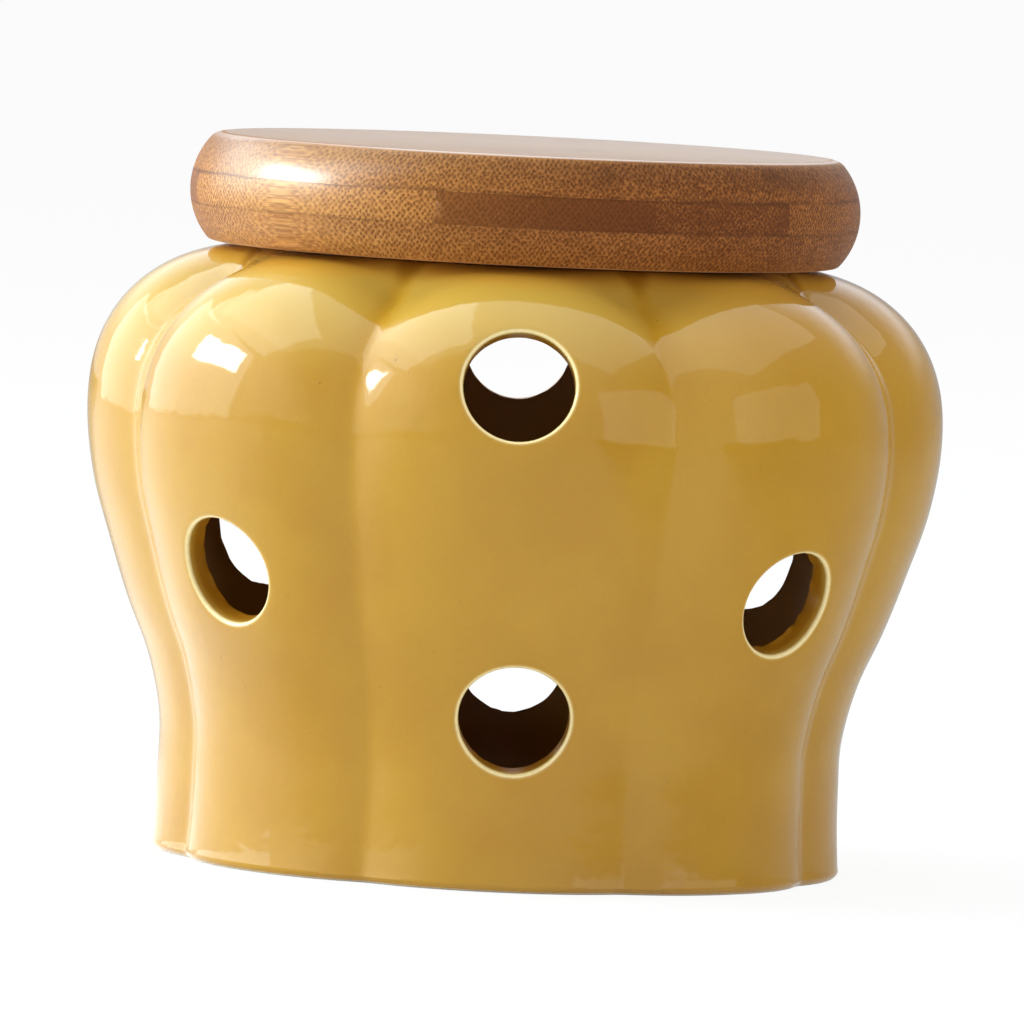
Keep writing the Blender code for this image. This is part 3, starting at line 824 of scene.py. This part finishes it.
def fluting():
    """A modifier's tree that presses the grooves between the lobes into a round pot."""
    tree = bpy.data.node_groups.new("fluting", "GeometryNodeTree")
    sizes = {"Lobes": LOBES, "Valley Share": VALLEY_SHARE, "Lobe Power": LOBE_POWER}
    tree.interface.new_socket("Pot", in_out="INPUT", socket_type="NodeSocketGeometry")
    for name in sizes:
        tree.interface.new_socket(name, in_out="INPUT", socket_type="NodeSocketFloat")
    tree.interface.new_socket("Glaze", in_out="INPUT", socket_type="NodeSocketMaterial")
    tree.interface.new_socket("Pot", in_out="OUTPUT", socket_type="NodeSocketGeometry")
    recipe = Recipe(tree)
    pot, lobes, valley, power, glazing = (
        recipe.add("NodeGroupInput", out=name) for name in ("Pot", *sizes, "Glaze")
    )
    inward = recipe.add("GeometryNodeInputNamedAttribute", {"data_type": "FLOAT_VECTOR"}, {"Name": "inward"})
    groove = recipe.add("GeometryNodeInputNamedAttribute", {"data_type": "FLOAT"}, {"Name": "groove"})
    x, y, _ = recipe.parts(recipe.add("GeometryNodeInputPosition"))
    turn = x.turn_from(-1 * y)
    from_middle = abs((turn * lobes / math.tau + 0.5) % 1 - 0.5) * 2
    square = valley * valley
    rounded = ((1 - from_middle) ** 2 + square) ** 0.5 - valley
    share = (1 - rounded / ((1 + square) ** 0.5 - valley)).most(0) ** power
    pressed = {"Vector": inward, "Scale": groove * share}
    offset = recipe.add("ShaderNodeVectorMath", {"operation": "SCALE"}, pressed)
    pot = recipe.add("GeometryNodeSetPosition", {}, {"Geometry": pot, "Offset": offset})
    kept = {"Geometry": pot, "Name": "in_groove", "Value": share}
    pot = recipe.add("GeometryNodeStoreNamedAttribute", {"data_type": "FLOAT", "domain": "POINT"}, kept)
    pot = recipe.add("GeometryNodeRealizeInstances", {}, {"Geometry": pot})
    pot = recipe.add("GeometryNodeSetMaterial", {}, {"Geometry": pot, "Material": glazing})
    recipe.add("NodeGroupOutput", {}, {"Pot": pot}, out=None)
    return tree, sizes


def make_pot():
    finish = glaze()
    shell = bpy.data.objects.new("round_pot", pot_mesh())
    bpy.context.scene.collection.objects.link(shell)
    press = shell.modifiers.new("fluting", "NODES")
    press.node_group, sizes = fluting()
    values = {"Glaze": finish, **{name: float(size) for name, size in sizes.items()}}
    for item in press.node_group.interface.items_tree:
        if item.in_out == "INPUT" and item.name in values:
            press[item.identifier] = values[item.name]
    mesh = bpy.data.meshes.new_from_object(shell.evaluated_get(bpy.context.evaluated_depsgraph_get()))
    mesh.name = "glazed_pot"
    bpy.data.objects.remove(shell)
    add_piece("glazed_pot", mesh, finish, "pot", "pot")


# The lid and its seal


def lid_side():
    """(radius, height) points of the lid's edge, from its underside up to its flat top."""
    centre = (LID_RADIUS - LID_BULGE, LID_WIDEST)
    low_centre = edge_centre(centre, LID_BULGE - LID_BOTTOM_EDGE, LID_BOTTOM_EDGE)
    high_centre = edge_centre(centre, LID_BULGE - LID_TOP_EDGE, LID_HEIGHT - LID_TOP_EDGE)
    low_turn = slope_between(centre, low_centre)
    high_turn = slope_between(centre, high_centre)
    side = arc(centre, LID_BULGE, low_turn, high_turn, LID_SIDE_STEPS)
    under = arc(low_centre, LID_BOTTOM_EDGE, -90, low_turn, EDGE_STEPS)
    top = arc(high_centre, LID_TOP_EDGE, high_turn, 90, LID_TOP_STEPS)
    return under[:-1] + side + top[1:]


def edge_centre(centre, reach, height):
    """The point at this height and this far from the side's centre, where an edge rounding has its own."""
    return centre[0] + math.sqrt(reach**2 - (height - centre[1]) ** 2), height


def slope_between(start, end):
    return math.degrees(math.atan2(end[1] - start[1], end[0] - start[0]))


def slice_of(outline, low, high):
    """The part of a rising outline between two heights, with points put in at both."""
    radii, heights = zip(*outline)
    ends = [(float(np.interp(height, heights, radii)), height) for height in (low, high)]
    inside = [point for point in outline if low + NEAREST_TO_CUT < point[1] < high - NEAREST_TO_CUT]
    return [ends[0], *inside, ends[1]]


def turned(outline, closed=False):
    """A body of revolution whose outline runs up its outer side, with flat ends or closed on itself."""
    bm = bmesh.new()
    turns = math.tau * np.arange(LID_SIDES) / LID_SIDES
    rows = [[bm.verts.new(place) for place in polar(turns, *point)] for point in outline]
    for low, high in zip(rows, rows[1:] + rows[:1] * closed):
        for i in range(LID_SIDES):
            j = (i + 1) % LID_SIDES
            bm.faces.new((low[i], low[j], high[j], high[i]))
    if not closed:
        bm.faces.new(rows[0][::-1])
        bm.faces.new(rows[-1])
    return bm


def mesh_of(bm, name):
    mesh = bpy.data.meshes.new(name)
    bm.to_mesh(mesh)
    bm.free()
    return mesh


def cut_away(bm, place, direction):
    """Cuts off what lies past a plane, and closes the cut."""
    everything = bm.verts[:] + bm.edges[:] + bm.faces[:]
    plane = {"plane_co": direction * place, "plane_no": direction}
    cut = bmesh.ops.bisect_plane(bm, geom=everything, dist=SAME_PLACE, clear_outer=True, **plane)
    edges = [item for item in cut["geom_cut"] if isinstance(item, bmesh.types.BMEdge)]
    bmesh.ops.edgeloop_fill(bm, edges=edges)


def pattern_shift(ply, radius, number):
    """How far a strip's pattern is moved, so that no two strips look alike."""
    return math.sin(17.0 * radius / MM + 3.7 * number + len(ply)) * 9.0


def make_ply(ply, outline, radius, finish, top_finish=None):
    """Cuts a turned ply into its strips, whose flat top may have a finish of its own."""
    across = Matrix.Rotation(FIBRE_TURN - math.pi / 2, 3, "Z") @ Vector((1, 0, 0))
    strips = STRIPS[ply]
    seams = [start for start, *_ in strips[1:]]
    for number, (start, slot, tone, knuckle) in enumerate(strips):
        bm = turned(outline)
        if number < len(seams):
            cut_away(bm, seams[number] * radius - SEAM / 2, across)
        if number:
            cut_away(bm, -start * radius - SEAM / 2, -across)
        bmesh.ops.recalc_face_normals(bm, faces=bm.faces)
        node = f"lid_{ply}_strip_{number + 1}"
        mesh = mesh_of(bm, "bamboo_" + node)
        shift = pattern_shift(ply, radius, number)
        for name, value in (("tone", tone), ("shift", shift), ("knuckle", knuckle)):
            mark = mesh.attributes.new(name, "FLOAT", "POINT")
            mark.data.foreach_set("value", [value] * len(mesh.vertices))
        add_piece("bamboo_" + node, mesh, finish, "lid", node)
        if top_finish:
            mesh.materials.append(top_finish)
            for face in mesh.polygons:
                face.material_index = int(face.normal.z > LEVEL_FACE)


def make_lid(finish, top_finish):
    side = [(radius, LID_BASE + height) for radius, height in lid_side()]
    core = LID_BASE + BOTTOM_PLY
    top = core + CORE_PLY
    half = GLUE_LINE / 2
    make_ply("bottom", slice_of(side, LID_BASE, core - half), LID_RADIUS, finish)
    make_ply("core", slice_of(side, core + half, top - half), LID_RADIUS, finish)
    make_ply("top", slice_of(side, top + half, LID_BASE + LID_HEIGHT), LID_RADIUS, finish, top_finish)
    foot = LID_BASE - PLUG_HEIGHT
    step = LID_BASE - NECK_HEIGHT - NECK_CLEARANCE
    neck = PLUG_RADIUS - NECK_DEPTH
    plug = arc((PLUG_RADIUS - PLUG_EDGE, foot + PLUG_EDGE), PLUG_EDGE, -90, 0, EDGE_STEPS)
    plug += [(PLUG_RADIUS, step), (neck, step), (neck, LID_BASE - GLUE_LINE)]
    make_ply("plug", plug, PLUG_RADIUS, finish)


def make_seal():
    """A band round the plug's neck, with two lips that reach out to the mouth."""
    bottom = LID_BASE - NECK_HEIGHT
    low, high = bottom + SEAL_EDGE, bottom + SEAL_HEIGHT - SEAL_EDGE
    within, without = SEAL_BORE + SEAL_EDGE, SEAL_BAND - SEAL_EDGE
    outline = arc((within, low), SEAL_EDGE, 180, 270, SEAL_STEPS)
    outline += arc((without, low), SEAL_EDGE, 270, 360, SEAL_STEPS)
    for share in LIP_SHARES:
        root = bottom + SEAL_HEIGHT * share
        tip = (SEAL_LIP - LIP_THICKNESS / 2, root + LIP_RISE)
        outline.append((SEAL_BAND, root - LIP_THICKNESS / 2))
        outline += arc(tip, LIP_THICKNESS / 2, -LIP_ROUND, LIP_ROUND, EDGE_STEPS)
        outline.append((SEAL_BAND, root + LIP_THICKNESS / 2))
    outline += arc((without, high), SEAL_EDGE, 0, 90, SEAL_STEPS)
    outline += arc((within, high), SEAL_EDGE, 90, 180, SEAL_STEPS)
    mesh = mesh_of(turned(outline, closed=True), "lipped_seal")
    add_piece("lipped_seal", mesh, silicone(), "seal", "seal_ring")


# Floor, light and camera

WHITE = (1.0, 1.0, 1.0)
DAYLIGHT = (0.85, 1.0, 1.0)
ROOM_LIGHT = (0.96, 1.04, 0.97)
BACK_WALL = (0.95, 1.03, 1.14)
FLOOR_GREY = (0.8, 0.8, 0.8)
FLOOR_RADIUS = 14.0
FLOOR_SIDES = 96

# How much of the floor is plain white to the camera, the rest of it taking the pot's shadow, and
# how much of it is in the glaze's reflections
FLOOR_SEEN = 0.92
FLOOR_REFLECTED = 0.75

# The world's light on the pot, and what reflections have besides it: more at the left, more still
# high up there, more above the back, and less at the back right
WORLD_LIGHT = 0.65
ROOM_LEFT = 1.3
ROOM_HIGH_LEFT = 0.7
ROOM_BACK = 1.1
ROOM_RIGHT = 0.6
FLOOR_LEFT = 1.5
FLOOR_RIGHT = 0.65

# Ways over the floor, as shares of x and y
LEFTWARDS = (-0.98, 0.17)
BACK_RIGHTWARDS = (0.82, 0.57)

# Lamps, which face the place that is lit: name, turn from the front and rise in degrees, distance,
# width, height, watts and colour
LIT = Vector((0.0, 0.0, 0.07))
SOFTBOXES = (
    ("overhead_softbox", 0, 90, 1.5, 3.2, 2.2, 17.0, ROOM_LIGHT),
    ("left_window", -92, 24, 1.3, 0.62, 0.28, 10.0, DAYLIGHT),
    ("left_curtain", -107, 17, 1.5, 1.87, 1.03, 11.0, DAYLIGHT),
    ("left_skylight", -98, 56, 1.5, 1.66, 1.09, 11.0, DAYLIGHT),
    ("right_panel", 64, 13.5, 1.6, 1.42, 0.77, 2.5, ROOM_LIGHT),
)

CAMERA_PLACE = Vector((0.00025, -1.96, 0.180))
CAMERA_AIM = Vector((0.00025, 0.0, 0.0575))
CAMERA_ROLL = math.radians(2.75)
CAMERA_SENSOR = 36.0
CAMERA_LENS = 421.03
CAMERA_REACH = 40.0


def camera_and_gloss(recipe):
    """1 for the rays of the camera, and 1 for those of gloss and glass."""
    kinds = ("Camera", "Glossy", "Transmission")
    camera, glossy, through = (recipe.add("ShaderNodeLightPath", out=f"Is {kind} Ray") for kind in kinds)
    return camera, glossy.most(through)


def along_floor(x, y, way):
    return x * way[0] + y * way[1]


def room_in_gloss(x, y, z):
    """The room's brightness this way as gloss shows it: bright at the left and above the back."""
    left = x.rises(-0.4, -1.0) * (ROOM_LEFT + z.rises(0.0, 0.4) * ROOM_HIGH_LEFT)
    back = y.rises(0.5, 0.9) * z.rises(0.15, 0.4) * ROOM_BACK
    right = along_floor(x, y, BACK_RIGHTWARDS).rises(0.0, 0.8) * ROOM_RIGHT
    return 1 + left + back - right


def make_floor():
    """A wide pale floor, which reflections see brighter at the left and darker at the back right."""
    floor = Finish("pale_floor")
    camera, gloss = camera_and_gloss(floor)
    x, y, _ = floor.parts(floor.place())
    left = (along_floor(x, y, LEFTWARDS) / (x * x + y * y) ** 0.5).rises(0.55, 1.0) * FLOOR_LEFT
    right = along_floor(x, y, BACK_RIGHTWARDS).rises(-20.0, 110.0) * FLOOR_RIGHT
    strength = camera + gloss * (1 + left - right)
    diffuse = floor.add("ShaderNodeBsdfDiffuse", {}, {"Color": (*FLOOR_GREY, 1.0)})
    white = floor.add("ShaderNodeEmission", {}, {"Color": (*WHITE, 1.0), "Strength": strength})
    share = camera * FLOOR_SEEN + gloss * FLOOR_REFLECTED
    surface = floor.add("ShaderNodeMixShader", {}, {0: share, 1: diffuse, 2: white})
    floor.add("ShaderNodeOutputMaterial", {}, {"Surface": surface}, out=None)
    bm = bmesh.new()
    bmesh.ops.create_circle(bm, cap_ends=True, segments=FLOOR_SIDES, radius=FLOOR_RADIUS)
    mesh = mesh_of(bm, "studio_floor")
    mesh.materials.append(floor.material)
    piece = bpy.data.objects.new("studio_floor", mesh)
    bpy.context.scene.collection.objects.link(piece)


def make_world():
    """White to the camera, a plain light on the pot, and a room in its reflections."""
    world = bpy.data.worlds.new("studio")
    world.use_nodes = True
    world.node_tree.nodes.clear()
    recipe = Recipe(world.node_tree)
    camera, gloss = camera_and_gloss(recipe)
    x, y, z = recipe.parts(recipe.add("ShaderNodeTexCoord", out="Generated"))
    strength = camera + gloss * room_in_gloss(x, y, z) + (1 - camera.most(gloss)) * WORLD_LIGHT
    colour = recipe.mix(gloss * y.rises(0.5, 0.9), WHITE, BACK_WALL)
    sky = recipe.add("ShaderNodeBackground", {}, {"Color": colour, "Strength": strength})
    recipe.add("ShaderNodeOutputWorld", {}, {"Surface": sky}, out=None)
    bpy.context.scene.world = world


def add_softbox(name, turn, rise, distance, width, height, power, colour):
    """A rectangular lamp that faces the pot, placed by its turn from the front and its rise."""
    turn, rise = math.radians(turn), math.radians(rise)
    level = distance * math.cos(rise)
    place = LIT + Vector((level * math.sin(turn), -level * math.cos(turn), distance * math.sin(rise)))
    lamp = bpy.data.lights.new(name, "AREA")
    lamp.shape = "RECTANGLE"
    lamp.size, lamp.size_y, lamp.energy, lamp.color = width, height, power, colour
    made = bpy.data.objects.new(name, lamp)
    bpy.context.scene.collection.objects.link(made)
    made.location = place
    made.rotation_euler = (place - LIT).to_track_quat("Z", "Y").to_euler()


def make_camera():
    lens = bpy.data.cameras.new("camera")
    lens.sensor_width, lens.lens, lens.clip_end = CAMERA_SENSOR, CAMERA_LENS, CAMERA_REACH
    camera = bpy.data.objects.new("camera", lens)
    bpy.context.scene.collection.objects.link(camera)
    look = (CAMERA_AIM - CAMERA_PLACE).to_track_quat("-Z", "Y").to_matrix().to_4x4()
    camera.matrix_world = Matrix.Translation(CAMERA_PLACE) @ look @ Matrix.Rotation(CAMERA_ROLL, 4, "Z")
    bpy.context.scene.camera = camera


make_camera()
make_pot()
make_lid(bamboo("oiled_bamboo", OILED_FUZZ), bamboo("sanded_bamboo", SANDED_FUZZ))
make_seal()
make_floor()
make_world()
for softbox in SOFTBOXES:
    add_softbox(*softbox)
bpy.context.scene.view_settings.view_transform = "Standard"
